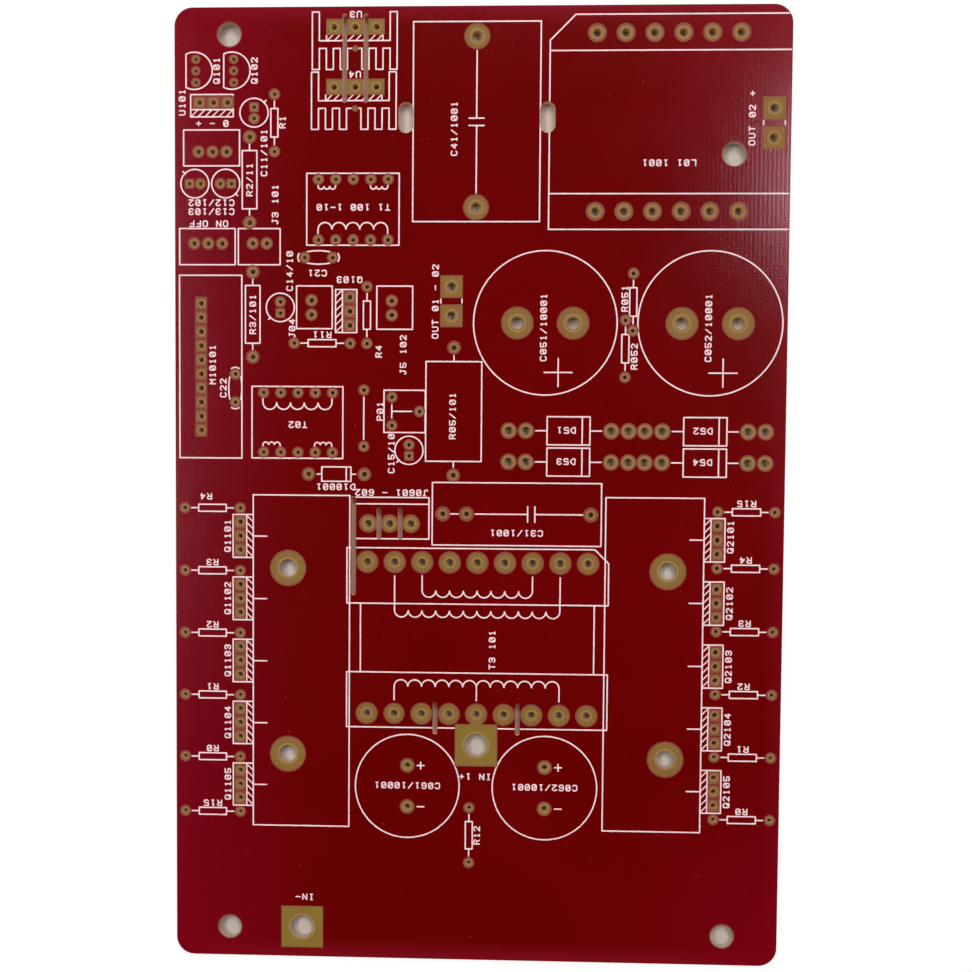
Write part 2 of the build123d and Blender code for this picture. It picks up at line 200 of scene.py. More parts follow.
nearest_hole = KDTree(len(holes))
for index, (centre, radius) in enumerate(holes):
    nearest_hole.insert(centre.to_3d(), index)
nearest_hole.balance()
discs = []
edge_highlights = []
browned = []
for vertex in laminate.data.vertices:
    place = Vector((vertex.co.x, vertex.co.y, 0)) / MM
    _, index, distance = nearest_hole.find(place)
    radius = holes[index][1]
    ring = (distance - radius) / disc_reach(radius)
    pale, painted_sheen = next((row[1:] for row in DISC_RINGS if abs(ring - row[0]) < RING_MATCH), (0.0, 0.0))
    discs.append(pale)
    edge_highlights.append(painted_sheen * SCREW_EDGE_HIGHLIGHT if 2 * radius > SCREW_DIAMETER else painted_sheen)
    browned.append(next(share for most, share in BROWNING if radius < most))
wide_cuts = [(*middle(outline), 1.0) for outline in slots]
wide_cuts += [(centre, Vector((radius, radius)), SCREW_WALL) for centre, radius in screw_holes]
cut_walls = []
routed_walls = []
for face in laminate.data.polygons:
    upright = abs(face.normal.z) < UPRIGHT_FACE
    routed = 0.0
    if upright:
        place = face.center.to_2d() / MM
        for centre, half, share in wide_cuts:
            away = place - centre
            if abs(away.x) < half.x + RING_MATCH and abs(away.y) < half.y + RING_MATCH:
                routed = share
    cut_walls.append(float(upright))
    routed_walls.append(routed)
for name, domain, values in (
    ("drill_disc", "POINT", discs), ("drill_edge_highlight", "POINT", edge_highlights), ("browning", "POINT", browned),
    ("cut_wall", "FACE", cut_walls), ("routed_wall", "FACE", routed_walls),
):
    laminate.data.attributes.new(name, "FLOAT", domain).data.foreach_set("value", values)


def add_node(tree, kind, *links, **settings):
    """One shader node: settings go to the node, and each link is a socket's name with what feeds it."""
    made = tree.nodes.new(kind)
    for name, value in settings.items():
        setattr(made, name, value)
    for socket, value in links:
        if hasattr(value, "is_output"):
            tree.links.new(value, made.inputs[socket])
        else:
            made.inputs[socket].default_value = value
    return made


def reckoned(tree, operation, *values):
    """The result of one sum on numbers or sockets."""
    return add_node(tree, "ShaderNodeMath", *enumerate(values), operation=operation).outputs[0]


def ramped(tree, value, *links, **settings):
    """A value carried over to another range."""
    return add_node(tree, "ShaderNodeMapRange", ("Value", value), *links, **settings).outputs["Result"]


def mixed(tree, share, first, second):
    """A colour between two others, each a colour or a socket."""
    links = ((0, share), (6, first), (7, second))
    return add_node(tree, "ShaderNodeMix", *links, data_type="RGBA").outputs[2]


def stored(tree, name):
    """A value that the mesh keeps for its material."""
    return add_node(tree, "ShaderNodeAttribute", attribute_name=name).outputs["Fac"]


def new_finish(name, roughness, shine):
    """A material with its principled shader, and a position in millimetres for its textures."""
    finish = bpy.data.materials.new(name)
    finish.use_nodes = True
    tree = finish.node_tree
    surface = tree.nodes["Principled BSDF"]
    surface.inputs["Roughness"].default_value = roughness
    surface.inputs["Specular IOR Level"].default_value = shine
    place = add_node(tree, "ShaderNodeTexCoord").outputs["Object"]
    scaled = add_node(tree, "ShaderNodeVectorMath", (0, place), ("Scale", 1 / MM), operation="SCALE")
    return finish, tree, surface, scaled.outputs["Vector"]


NOISE_DETAIL = 3.0


def blotches(tree, place, size, low_end, high_end):
    """Soft blotches of about the given size, from 0 at the noise's low end to 1 at its high end."""
    links = (("Vector", place), ("Scale", 1 / size), ("Detail", NOISE_DETAIL))
    noise = add_node(tree, "ShaderNodeTexNoise", *links)
    return ramped(tree, noise.outputs["Fac"], ("From Min", low_end), ("From Max", high_end))


WEAVE_PITCHES = (("X", 0.77), ("Y", 0.58))
BAND_UNIT = math.tau / 20
WANDER, WANDER_DETAIL, WANDER_SCALE = 0.1, 1.0, 0.6


def weave(tree, place):
    """The height of a plain glass weave: two sets of threads, over and under each other."""
    bands = []
    for direction, pitch in WEAVE_PITCHES:
        wave = add_node(
            tree, "ShaderNodeTexWave", ("Vector", place), ("Scale", BAND_UNIT / pitch),
            ("Distortion", WANDER), ("Detail", WANDER_DETAIL), ("Detail Scale", WANDER_SCALE),
            wave_type="BANDS", bands_direction=direction,
        )
        bands.append(wave.outputs["Fac"])
    return reckoned(tree, "MULTIPLY", *bands)


def roughened(tree, surface, height, strength, depth):
    """Lets a texture's height turn the way that a finish catches the light."""
    links = (("Height", height), ("Strength", strength), ("Distance", depth))
    bump = add_node(tree, "ShaderNodeBump", *links)
    tree.links.new(bump.outputs["Normal"], surface.inputs["Normal"])


RESIN_OLIVE = (0.232, 0.154, 0.022, 1)
RESIN_BROWN = (0.228, 0.07, 0.032, 1)
RESIN_DISC = (0.3, 0.16, 0.056, 1)
RESIN_PALE = (0.42, 0.32, 0.14, 1)
RESIN_CUT = (0.5, 0.31, 0.11, 1)
RESIN_FIBRE = (0.62, 0.45, 0.22, 1)
# Painted light and shade on the cut walls: a lit pink for the slots' walls and a shaded grey for the screw
# holes' walls.
DRILLED_SHADED_GREY = (0.58, 0.42, 0.34, 1)
ROUTED_LIT_PINK = (0.9, 0.5, 0.34, 1)
DISC_STRENGTH, EDGE_HIGHLIGHT_STRENGTH, THREAD_STRENGTH = 0.6, 0.42, 0.08
RESIN_BLOTCHES, FIBRE_BLOTCHES = (9, 0.5, 1.0), (0.25, 0.35, 0.65)
RESIN_ROUGHNESS, RESIN_SHINE = 0.5, 0.1
RESIN_BUMP, RESIN_DEPTH = 0.25, 0.00003
finish, tree, surface, place = new_finish("bare_laminate", RESIN_ROUGHNESS, RESIN_SHINE)
threads = weave(tree, place)
resin = mixed(tree, stored(tree, "browning"), RESIN_OLIVE, RESIN_BROWN)
resin = mixed(tree, blotches(tree, place, *RESIN_BLOTCHES), resin, RESIN_BROWN)
# The pale ring at each drilled hole's rim is a painted highlight on the drilled edge.
for attribute, strength, colour in (
    ("drill_disc", DISC_STRENGTH, RESIN_DISC), ("drill_edge_highlight", EDGE_HIGHLIGHT_STRENGTH, RESIN_PALE),
):
    ring = reckoned(tree, "MULTIPLY", stored(tree, attribute), strength)
    resin = mixed(tree, ring, resin, colour)
resin = mixed(tree, reckoned(tree, "MULTIPLY", threads, THREAD_STRENGTH), resin, RESIN_PALE)
fibres = mixed(tree, blotches(tree, place, *FIBRE_BLOTCHES), RESIN_CUT, RESIN_FIBRE)
# The slots' walls are painted lighter and pinker, for light coming through the sheet, and the screw holes'
# walls greyer, for their shade.
routing = stored(tree, "routed_wall")
fibres = mixed(tree, ramped(tree, routing, ("From Max", SCREW_WALL)), fibres, DRILLED_SHADED_GREY)
fibres = mixed(tree, ramped(tree, routing, ("From Min", SCREW_WALL)), fibres, ROUTED_LIT_PINK)
tree.links.new(mixed(tree, stored(tree, "cut_wall"), resin, fibres), surface.inputs["Base Color"])
roughened(tree, surface, threads, RESIN_BUMP, RESIN_DEPTH)
laminate.data.materials.append(finish)

# The solder mask
# A film of deep red lacquer, screened over the whole component side and cured to a gloss. It leaves a
# window round every lead, and thins to a brownish fringe at the window's edge.
MASK_LOW, MASK_HIGH = (corner.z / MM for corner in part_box("solder_mask"))
TAB_GAP = 0.11
TAB_SPREAD = 0.05
SLOT_REACH = 0.6
SCREW_RIM = 0.2
BRIDGE_SHARE = 0.25
# What the windows of some leads gain on the CAD mask, by the radius of the lead's hole.
WIDER_PADS = {0.6: 0.22, 0.62: 0.1}
FRINGE_WIDTH = 0.27
SQUARE_FRINGE = Vector((0.14, 0.14))
FRINGE_HEIGHT = 0.012
_, *mask_loops = outlines("solder_mask")


def reach_of(loop, place):
    """The distance from a place inside a loop to the loop's nearest side."""
    least = math.inf
    for start, end in zip(loop, loop[1:] + loop[:1]):
        run = end - start
        share = max(0, min(1, (place - start).dot(run) / run.length_squared))
        least = min(least, (start + share * run - place).length)
    return least


def square_window(centre, half):
    """A square-cornered window, and the inner edge of its fringe."""
    return rectangle(centre, half), rectangle(centre, half - SQUARE_FRINGE)


def round_window(centre, radius):
    """A round window, and the inner edge of its fringe."""
    return circle(centre, radius), circle(centre, radius - FRINGE_WIDTH)


def windows_of(loop):
    """The real windows that a few-sided window of the CAD mask stands for, each with its inset."""
    centre, half = middle(loop)
    within = [h for h in holes if abs(h[0].x - centre.x) < half.x and abs(h[0].y - centre.y) < half.y]
    squared = len(loop) == 4
    made = []
    if squared and len(within) > 1:
        along = half.y > half.x
        across = min(half) + TAB_SPREAD
        pitch = Vector((across, across))
        run = min((a[0] - b[0]).length for a in within for b in within if a is not b)
        pitch[1 if along else 0] = run / 2 - TAB_GAP / 2
        made += [square_window(place, pitch) for place, _ in within]
    elif squared:
        left, right = centre.x - half.x, centre.x + half.x
        for slot in slots:
            place, size = middle(slot)
            if abs(place.y - centre.y) < size.y:
                left = place.x if 0 < left - place.x < SLOT_REACH else left
                right = place.x if 0 < place.x - right < SLOT_REACH else right
        centre = Vector(((left + right) / 2, centre.y))
        half = Vector(((right - left) / 2, half.y))
        made.append(square_window(centre, half))
    elif not within and half.y < half.x * SLOT_SHAPE:
        made.append(round_window(centre, reach_of(loop, centre)))
    else:
        for place, radius in within:
            reach = reach_of(loop, place)
            if 2 * radius > SCREW_DIAMETER and len(within) > 1:
                square = Vector((reach, reach))
                made.append(square_window(place, square))
                bridge = rectangle(place + Vector((0, reach)), square * BRIDGE_SHARE)
                made.append((bridge, bridge))
            else:
                reach = max(reach + WIDER_PADS.get(round(radius, 2), 0), radius + SCREW_RIM)
                made.append(round_window(place, reach))
    return made


windows = []
insets = []
for loop in mask_loops:
    for window, inset in windows_of(loop):
        windows.append(window)
        insets.append(inset)
points, triangles = region([sheet_outline], windows + slots)
mask = flat_solid("solder_mask_film", points, triangles, MASK_LOW, MASK_HIGH)
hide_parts("solder_mask")

LACQUER_DEEP = (0.126, 0.0002, 0.0003, 1)
LACQUER_BRIGHT = (0.143, 0.0004, 0.0012, 1)
# Painted sheen: a lighter, pinker red towards the left edge, where the left lamp falls nearest.
LACQUER_LEFT_SHEEN = (0.18, 0.002, 0.013, 1)
# Painted sheen: lighter reds at the board's corners and along its edges.
LACQUER_CORNER_SHEEN = (0.19, 0.0008, 0.006, 1)
LACQUER_EDGE_SHEEN = (0.21, 0.005, 0.012, 1)
LACQUER_DUST = (0.42, 0.14, 0.14, 1)
LEFT_SHEEN_REACH, LEFT_SHEEN_MOST = 24.0, 0.6
EDGE_SHEEN_REACH, EDGE_SHEEN_SIDES, EDGE_SHEEN_ENDS = 4.0, 0.35, 0.75
CORNER_SHEEN_FROM = 0.55
LACQUER_BLOTCHES, DUST_BLOTCHES, SPECKLE = (30, 0.35, 0.65), (0.5, 0.745, 0.81), (0.27, 0.3, 0.7)
GLOSS_BLOTCHES, GLOSS_LEAST, GLOSS_MOST = (6, 0.0, 1.0), 0.11, 0.15
LACQUER_SHINE = 0.25
LACQUER_BUMP, LACQUER_DEPTH = 0.22, 0.00002
finish, tree, surface, place = new_finish("red_lacquer", GLOSS_LEAST, LACQUER_SHINE)
red = mixed(tree, blotches(tree, place, *LACQUER_BLOTCHES), LACQUER_DEEP, LACQUER_BRIGHT)
axes = add_node(tree, "ShaderNodeSeparateXYZ", (0, place)).outputs
# Painted sheen: the red turns lighter and pinker towards the left edge.
left_sheen = ramped(
    tree, axes["X"], ("From Min", LEFT_SHEEN_REACH - BOARD_WIDTH / 2), ("From Max", -BOARD_WIDTH / 2),
    ("To Max", LEFT_SHEEN_MOST), interpolation_type="SMOOTHSTEP",
)
red = mixed(tree, left_sheen, red, LACQUER_LEFT_SHEEN)
# Painted sheen: the red turns lighter along every edge of the board, and most at its corners.
corner = 1.0
for axis, half, sheen_most in (("X", BOARD_WIDTH / 2, EDGE_SHEEN_SIDES), ("Y", BOARD_LENGTH / 2, EDGE_SHEEN_ENDS)):
    reach = reckoned(tree, "ABSOLUTE", axes[axis])
    painted_sheen = ramped(
        tree, reach, ("From Min", half - EDGE_SHEEN_REACH), ("From Max", half), ("To Max", sheen_most),
        interpolation_type="SMOOTHSTEP",
    )
    red = mixed(tree, painted_sheen, red, LACQUER_EDGE_SHEEN)
    towards = ramped(tree, reach, ("From Min", half * CORNER_SHEEN_FROM), ("From Max", half))
    corner = reckoned(tree, "MULTIPLY", towards, corner)
red = mixed(tree, corner, red, LACQUER_CORNER_SHEEN)
red = mixed(tree, blotches(tree, place, *DUST_BLOTCHES), red, LACQUER_DUST)
tree.links.new(red, surface.inputs["Base Color"])
height = reckoned(tree, "ADD", weave(tree, place), blotches(tree, place, *SPECKLE))
roughened(tree, surface, height, LACQUER_BUMP, LACQUER_DEPTH)
gloss = ramped(tree, blotches(tree, place, *GLOSS_BLOTCHES), ("To Min", GLOSS_LEAST), ("To Max", GLOSS_MOST))
tree.links.new(gloss, surface.inputs["Roughness"])
mask.data.materials.append(finish)

points, triangles = region(windows, insets + slots + [circle(*hole) for hole in holes])
fringe = flat_solid("mask_fringe", points, triangles, SHEET_TOP, SHEET_TOP + FRINGE_HEIGHT)
FRINGE_BROWN = (0.24, 0.07, 0.042, 1)
FRINGE_RED = (0.215, 0.052, 0.034, 1)
FRINGE_BLOTCHES = (0.6, 0.35, 0.65)
FRINGE_ROUGHNESS, FRINGE_SHINE = 0.4, 0.1
finish, tree, surface, place = new_finish("thin_lacquer", FRINGE_ROUGHNESS, FRINGE_SHINE)
brown = mixed(tree, blotches(tree, place, *FRINGE_BLOTCHES), FRINGE_BROWN, FRINGE_RED)
tree.links.new(brown, surface.inputs["Base Color"])
fringe.data.materials.append(finish)

# The printed legend
# White ink screened on the cured mask with a round-ended line, thin enough to take a pink tone from the
# lacquer below. First come the ink, the pen and the letters, and then the outlines, group by group.
INK_LOW, INK_HIGH = (corner.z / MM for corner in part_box("legend"))
PEN = 0.245
TEXT_PEN = 0.22
CAP_STEPS = 4
ARC_LEAST, ARC_PER_MM = 24, 8
RING_LAP = 1
INK_WHITE = (0.93, 0.74, 0.74, 1)
INK_THIN = (0.86, 0.58, 0.59, 1)
INK_BLOTCHES = (0.7, 0.3, 0.75)
INK_ROUGHNESS, INK_SHINE = 0.55, 0.3
ink_finish, tree, surface, place = new_finish("white_ink", INK_ROUGHNESS, INK_SHINE)
tone = mixed(tree, blotches(tree, place, *INK_BLOTCHES), INK_WHITE, INK_THIN)
tree.links.new(tone, surface.inputs["Base Color"])


def spot(across_share, along_share):
    """A place on the board, from its shares of the width and the length."""
    return Vector((across_share * BOARD_WIDTH, along_share * BOARD_LENGTH))


def pen_line(start, end, pen=PEN):
    """The outline of one stroke with round ends."""
    ahead = (end - start).normalized() * pen / 2
    outline = []
    for centre, way in ((end, ahead), (start, -ahead)):
        for step in range(CAP_STEPS + 1):
            turn = math.pi * (step / CAP_STEPS - 0.5)
            outline.append(centre + Matrix.Rotation(turn, 2) @ way)
    return outline


def pen_path(corners, pen=PEN, closed=False):
    """Strokes from corner to corner."""
    ends = corners[1:] + corners[:1] if closed else corners[1:]
    return [pen_line(start, end, pen) for start, end in zip(corners, ends)]


def pen_bar(centre, *reach):
    """One straight stroke, from its middle and its reach across and along to either side."""
    return [pen_line(centre - Vector(reach), centre + Vector(reach))]


def pen_arc(centre, radius, first, last):
    """One round stroke between two directions, in degrees."""
    steps = max(3, round(abs(last - first) / 360 * max(ARC_LEAST, radius * ARC_PER_MM)))
    turns = [math.radians(first + (last - first) * step / steps) for step in range(steps + 1)]
    ways = [Vector((math.cos(turn), math.sin(turn))) for turn in turns]
    outer = [centre + (radius + PEN / 2) * way for way in ways]
    inner = [centre + (radius - PEN / 2) * way for way in ways]
    return [outer + inner[::-1]]


def pen_ring(centre, radius):
    """A round outline, drawn as two overlapping strokes."""
    strokes = pen_arc(centre, radius, -RING_LAP, 180 + RING_LAP)
    return strokes + pen_arc(centre, radius, 180 - RING_LAP, 360 + RING_LAP)


def pen_box(centre, width, length):
    """The outline of a box-shaped part."""
    return pen_path(rectangle(centre, Vector((width, length)) / 2), closed=True)


printed = []


def print_ink(name, strokes):
    """One printed piece: the strokes joined, clear of every window, hole, slot and earlier piece."""
    reach = [point for stroke in strokes for point in stroke]
    centre, half = middle(reach)
    near = []
    for outline in windows + slots + printed:
        place, size = middle(outline)
        if abs(place.x - centre.x) < half.x + size.x and abs(place.y - centre.y) < half.y + size.y:
            near.append(outline)
    points, triangles = region(strokes, near + [circle(*hole) for hole in screw_holes])
    printed.extend(strokes)
    piece = flat_solid(name, points, triangles, INK_LOW, INK_HIGH)
    piece.data.materials.append(ink_finish)
    return piece


# Each letter's strokes on a grid of 5 by 7 points, from corner to corner.
LETTERS = {
    "0": "10 30 41 45 36 16 05 01 10/01 45", "1": "10 30/20 26 15", "2": "05 16 36 45 44 00 40",
    "3": "05 16 36 45 44 33 42 41 30 10 01/13 33", "4": "30 36 02 42", "5": "46 06 03 33 42 41 30 10 01",
    "6": "45 36 16 05 01 10 30 41 42 33 03", "C": "45 36 16 05 01 10 30 41", "D": "00 06 26 44 42 20 00",
    "F": "46 06 00/03 33", "I": "10 30/16 36/20 26", "J": "01 10 20 31 36/26 46", "L": "06 00 40",
    "M": "00 06 23 46 40", "N": "00 06 40 46", "O": "10 30 41 45 36 16 05 01 10",
    "P": "00 06 36 45 44 33 03", "Q": "10 30 41 45 36 16 05 01 10/22 40", "R": "00 06 36 45 44 33 03/23 40",
    "T": "06 46/26 20", "U": "06 01 10 30 41 46", "+": "21 25/03 43", "-": "03 43", "/": "00 46", " ": "",
}
LETTER_GRID = Vector((0.185, 0.167))
LETTER_STEP = 1.23
LETTER_MIDDLE = Vector((2, 3))
UPRIGHT = math.radians(90)
OVER = math.radians(180)


def label(words, part, aside=(0, 0), turn=UPRIGHT):
    """Reference letters and numbers in single strokes, centred beside the middle of a part."""
    centre = part + Vector(aside)
    facing = Matrix.Rotation(turn, 2)
    strokes = []
    for count, letter in enumerate(words):
        start = Vector(((count - (len(words) - 1) / 2) * LETTER_STEP, 0))
        for run in filter(None, LETTERS[letter].split("/")):
            corners = [(Vector(map(int, pair)) - LETTER_MIDDLE) * LETTER_GRID for pair in run.split()]
            strokes += pen_path([centre + facing @ (start + corner) for corner in corners], TEXT_PEN)
    return strokes


# Heat sinks and the transistors along them
# Two long outlines for the extruded heat sinks, each with five switching transistors in a row at its outer
# side, their tabs hatched, and gate resistors between them and at both ends of the row.
HEAT_SINK_SHARES = (0.2906, -0.1824)
HEAT_SINK_WIDTH, HEAT_SINK_LENGTH = 17.65, 60.6
BANK_COUNT, BANK_PITCH, BANK_GAP = 5, 11.4, 2.4
GATE_OFFSET = 5.07
GATE_LABEL, TOP_GATE_LABEL = (0, 1.5), (-1.15, 2.1)
DEVICE_LABEL, TOP_DEVICE_RISE = 2.85, 0.6
TAB_WIDTH, TAB_LENGTH, TAB_OFFSET = 3.7, 7.82, 0.55
HATCH_DEPTH, HATCH_PITCH, HATCH_PEN = 1.21, 1.27, PEN * 0.8
AXIAL_SPAN = 10.16
RESISTOR_LENGTH, RESISTOR_WIDTH, STUB_REACH = 5.05, 1.28, 3.85
TICK = 2.5


def hatch(centre, depth, run, along, slant=1):
    """Strokes that slant up or down to the right and fill a narrow strip."""
    strokes = []
    count = int((run - depth) / HATCH_PITCH) + 1
    reach = Vector((depth, slant * depth)) / 2
    for step in range(count):
        place = (step - (count - 1) / 2) * HATCH_PITCH
        stroke = centre + (Vector((0, place)) if along else Vector((place, 0)))
        strokes.append(pen_line(stroke - reach, stroke + reach, HATCH_PEN))
    return strokes


def axial(centre, along, length=RESISTOR_LENGTH, width=RESISTOR_WIDTH, stub=STUB_REACH):
    """A part with a lead at each end: its body, and a line towards each lead."""
    way = Vector((0, 1)) if along else Vector((1, 0))
    size = (width, length) if along else (length, width)
    strokes = pen_box(centre, *size)
    for side in (-1, 1):
        strokes.append(pen_line(centre + side * way * length / 2, centre + side * way * stub))
    return strokes


strokes = []
for side in (-1, 1):
    sink = spot(side * HEAT_SINK_SHARES[0], HEAT_SINK_SHARES[1])
    strokes += pen_box(sink, HEAT_SINK_WIDTH, HEAT_SINK_LENGTH)
    leads = sink + Vector((side * (HEAT_SINK_WIDTH / 2 + BANK_GAP), 0))
    flank = sink.x + side * HEAT_SINK_WIDTH / 2
    rows = [(count - (BANK_COUNT - 1) / 2) * BANK_PITCH for count in range(BANK_COUNT)]
    for count, row in enumerate(rows):
        device = leads + Vector((-side * TAB_OFFSET, row))
        strokes += pen_box(device, TAB_WIDTH, TAB_LENGTH)
        band = device - Vector((side * (TAB_WIDTH - HATCH_DEPTH) / 2, 0))
        strokes += hatch(band, HATCH_DEPTH, TAB_LENGTH, True, side)
        strokes += pen_bar(band + Vector((side * HATCH_DEPTH / 2, 0)), 0, TAB_LENGTH / 2)
        start = Vector((flank, device.y))
        strokes.append(pen_line(start, start - Vector((side * TICK, 0))))
        number = BANK_COUNT - count
        rise = TOP_DEVICE_RISE if side > 0 and number == 1 else 0
        strokes += label(f"Q{1 if side < 0 else 2}10{number}", device, (side * DEVICE_LABEL, rise))
    gates = [row - side * GATE_OFFSET for row in rows]
    gates.append((rows[-1] if side > 0 else rows[0]) + side * GATE_OFFSET)
    for count, row in enumerate(gates):
        centre = leads + Vector((side * AXIAL_SPAN / 2, row))
        strokes += axial(centre, False)
        number = f"1{count}" if count == len(gates) - 1 else count
        aside = TOP_GATE_LABEL if side < 0 and count == BANK_COUNT - 1 else GATE_LABEL
        strokes += label(f"R{number}", centre, aside, OVER)
piece = print_ink("legend_heat_sinks", strokes)
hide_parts("legend")

# Main transformer, terminal block and link capacitor
# The outlines of the parts at the middle of the board, with the windings drawn as rows of half rounds
# between the leads that they end at.
CORE_SHARES = (0.0006, -0.1562)
CORE_PITCH, CORE_ROWS = 5.0, 27.65
CORE_WIDTH, CORE_BLOCK, CORE_BLOCK_OFFSET, CORE_CHAMFER, CORE_WAIST = 47.4, 10.1, 2.5, 2.5, 42.4
# The upper windings: leads to either side, half rounds, drop below the leads, length of the legs.
UPPER_WINDINGS = ((2, 8, 5.1, 2.6), (3, 12, 8.75, 6.2))
LOWER_LEADS, LOWER_BUMPS, LOWER_RISE, LOWER_LEG = 3, 12, 4.95, 2.45
CORE_LABEL = (2.8, -2.0)


def cut_box(centre, width, length, cut, side):
    """A box outline with one upper corner cut off: side -1 at the left, 1 at the right."""
    x, y = width / 2, length / 2
    corners = [(side * (x - cut), y), (-side * x, y), (-side * x, -y), (side * x, -y), (side * x, y - cut)]
    return pen_path([centre + Vector(corner) for corner in corners], closed=True)


def winding(start, end, bumps, side, leg):
    """Half rounds in a row, bulging to one side, with a leg at each end on the other side."""
    strokes = []
    width = (end.x - start.x) / bumps
    for count in range(bumps):
        centre = start + Vector(((count + 0.5) * width, 0))
        first = 0 if side > 0 else 180
        strokes += pen_arc(centre, width / 2, first, first + 180)
    for place in (start, end):
        strokes.append(pen_line(place, place - Vector((0, side * leg))))
    return strokes


core = spot(*CORE_SHARES)
upper = core + Vector((0, CORE_ROWS / 2))
lower = core - Vector((0, CORE_ROWS / 2))
strokes = cut_box(upper - Vector((0, CORE_BLOCK_OFFSET)), CORE_WIDTH, CORE_BLOCK, CORE_CHAMFER, 1)
strokes += pen_box(lower + Vector((0, CORE_BLOCK_OFFSET)), CORE_WIDTH, CORE_BLOCK)
waist = Vector((0, CORE_ROWS / 2 - CORE_BLOCK_OFFSET - CORE_BLOCK / 2))
for side in (-1, 1):
    strokes += pen_bar(core + Vector((side * CORE_WAIST / 2, 0)), *waist)
for leads, bumps, drop, leg in UPPER_WINDINGS:
    reach = Vector((leads * CORE_PITCH, 0))
    strokes += winding(upper - reach - Vector((0, drop)), upper + reach - Vector((0, drop)), bumps, -1, leg)
reach = Vector((LOWER_LEADS * CORE_PITCH, 0))
tap = lower + Vector((0, LOWER_RISE))
strokes += winding(tap - reach, tap + reach, LOWER_BUMPS, 1, LOWER_LEG)
strokes.append(pen_line(tap, tap - Vector((0, LOWER_LEG))))
strokes += label("T3 101", core, CORE_LABEL)

TERMINAL_SHARES = (-0.1446, -0.0353)
TERMINAL_WIDTH, TERMINAL_DEPTH, TERMINAL_LIP = 13.9, 7.5, 1.2
TERMINAL_OFFSET, TERMINAL_LABEL = (0.2, 0.98), (0.15, 4.6)
block = spot(*TERMINAL_SHARES) + Vector(TERMINAL_OFFSET)
strokes += pen_box(block, TERMINAL_WIDTH, TERMINAL_DEPTH)
strokes += pen_bar(block + Vector((0, TERMINAL_DEPTH / 2 - TERMINAL_LIP)), TERMINAL_WIDTH / 2, 0)
strokes += label("J0601 - 602", block, TERMINAL_LABEL, OVER)

LINK_SHARES = (0.0644, -0.0246)
LINK_WIDTH, LINK_DEPTH = 30.5, 11.3
LINK_WIRES = ((-12.0, -10.4), (-7.5, 2.0), (3.3, 12.0))
LINK_PLATES, PLATE_REACH = (2.0, 3.3), 1.4
LINK_LABEL = (0, -3.4)
link = spot(*LINK_SHARES)
strokes += pen_box(link, LINK_WIDTH, LINK_DEPTH)
for first, last in LINK_WIRES:
    strokes.append(pen_line(link + Vector((first, 0)), link + Vector((last, 0))))
for plate in LINK_PLATES:
    strokes += pen_bar(link + Vector((plate, 0)), 0, PLATE_REACH)
strokes += label("C31/1001", link, LINK_LABEL, OVER)
print_ink("legend_middle", strokes)

# Reservoir and supply capacitors
# A ring for each upright can, with the plus sign of the reservoir pair and the small signs of the supply
# pair, and the small resistors that stand between the cans.
STORE_SHARES, STORE_PITCH, STORE_DIAMETER = (0.24175, 0.1749), 29.38, 25.7
SUPPLY_SHARES, SUPPLY_PITCH, SUPPLY_DIAMETER = (0.0006, -0.314), 25.03, 19.0
STORE_SIGN, PLUS_ARM = (2.4, -8.8), 2.5
STORE_LABEL, SUPPLY_LABEL = (-0.3, -0.8), (0, 0.1)
SIGN_SIDE, SIGN_RISE, SIGN_ARM = 2.45, 3.8, 0.62
CAN_RESISTORS = (
    (0.2506, 0.1968, "R051", (-1.5, 0.6)), (0.2387, 0.1486, "R052", (1.6, -1.4)),
    (-0.0102, -0.3658, "R12", (1.45, 0)),
)
SUPPLY_NAMES = ((-0.0005, -0.303, "IN 1+"), (-0.284, -0.4355, "IN-"))
strokes = []
for count, side in enumerate((-1, 1)):
    can = spot(*STORE_SHARES) + Vector((side * STORE_PITCH / 2, 0))
    strokes += pen_ring(can, STORE_DIAMETER / 2)
    sign = can + Vector(STORE_SIGN)
    strokes += pen_bar(sign, PLUS_ARM, 0) + pen_bar(sign, 0, PLUS_ARM)
    strokes += label(f"C05{count + 1}/10001", can, STORE_LABEL)
    can = spot(*SUPPLY_SHARES) + Vector((side * SUPPLY_PITCH / 2, 0))
    strokes += pen_ring(can, SUPPLY_DIAMETER / 2)
    strokes += label(f"C06{count + 1}/10001", can, SUPPLY_LABEL, OVER)
    for rise in (SIGN_RISE, -SIGN_RISE):
        sign = can + Vector((SIGN_SIDE, rise))
        strokes += pen_bar(sign, SIGN_ARM, 0)
        if rise > 0:
            strokes += pen_bar(sign, 0, SIGN_ARM)
for across_share, along_share, words, aside in CAN_RESISTORS:
    strokes += axial(spot(across_share, along_share), True)
    strokes += label(words, spot(across_share, along_share), aside)
for across_share, along_share, words in SUPPLY_NAMES:
    strokes += label(words, spot(across_share, along_share), turn=OVER)
print_ink("legend_capacitors", strokes)

# Bridge diodes
# Four outlines in two rows, each with the line of its cathode band and a line towards its leads.
DIODE_SHARES, DIODE_PITCH, DIODE_ROWS = (0.259, 0.0468), 24.42, 5.6
DIODE_LENGTH, DIODE_WIDTH, DIODE_BAND, DIODE_STUB = 7.69, 5.04, 2.45, 5.9
DIODE_LABEL = (-0.4, 0.1)
strokes = []
for row in (1, -1):
    for side in (-1, 1):
        centre = spot(*DIODE_SHARES) + Vector((side * DIODE_PITCH / 2, row * DIODE_ROWS / 2))
        strokes += axial(centre, False, DIODE_LENGTH, DIODE_WIDTH, DIODE_STUB)
        strokes += pen_bar(centre + Vector((DIODE_BAND, 0)), 0, DIODE_WIDTH / 2)
        number = 1 + (row < 0) * 2 + (side > 0)
        strokes += label(f"D5{number}", centre, DIODE_LABEL, OVER)
print_ink("legend_diodes", strokes)

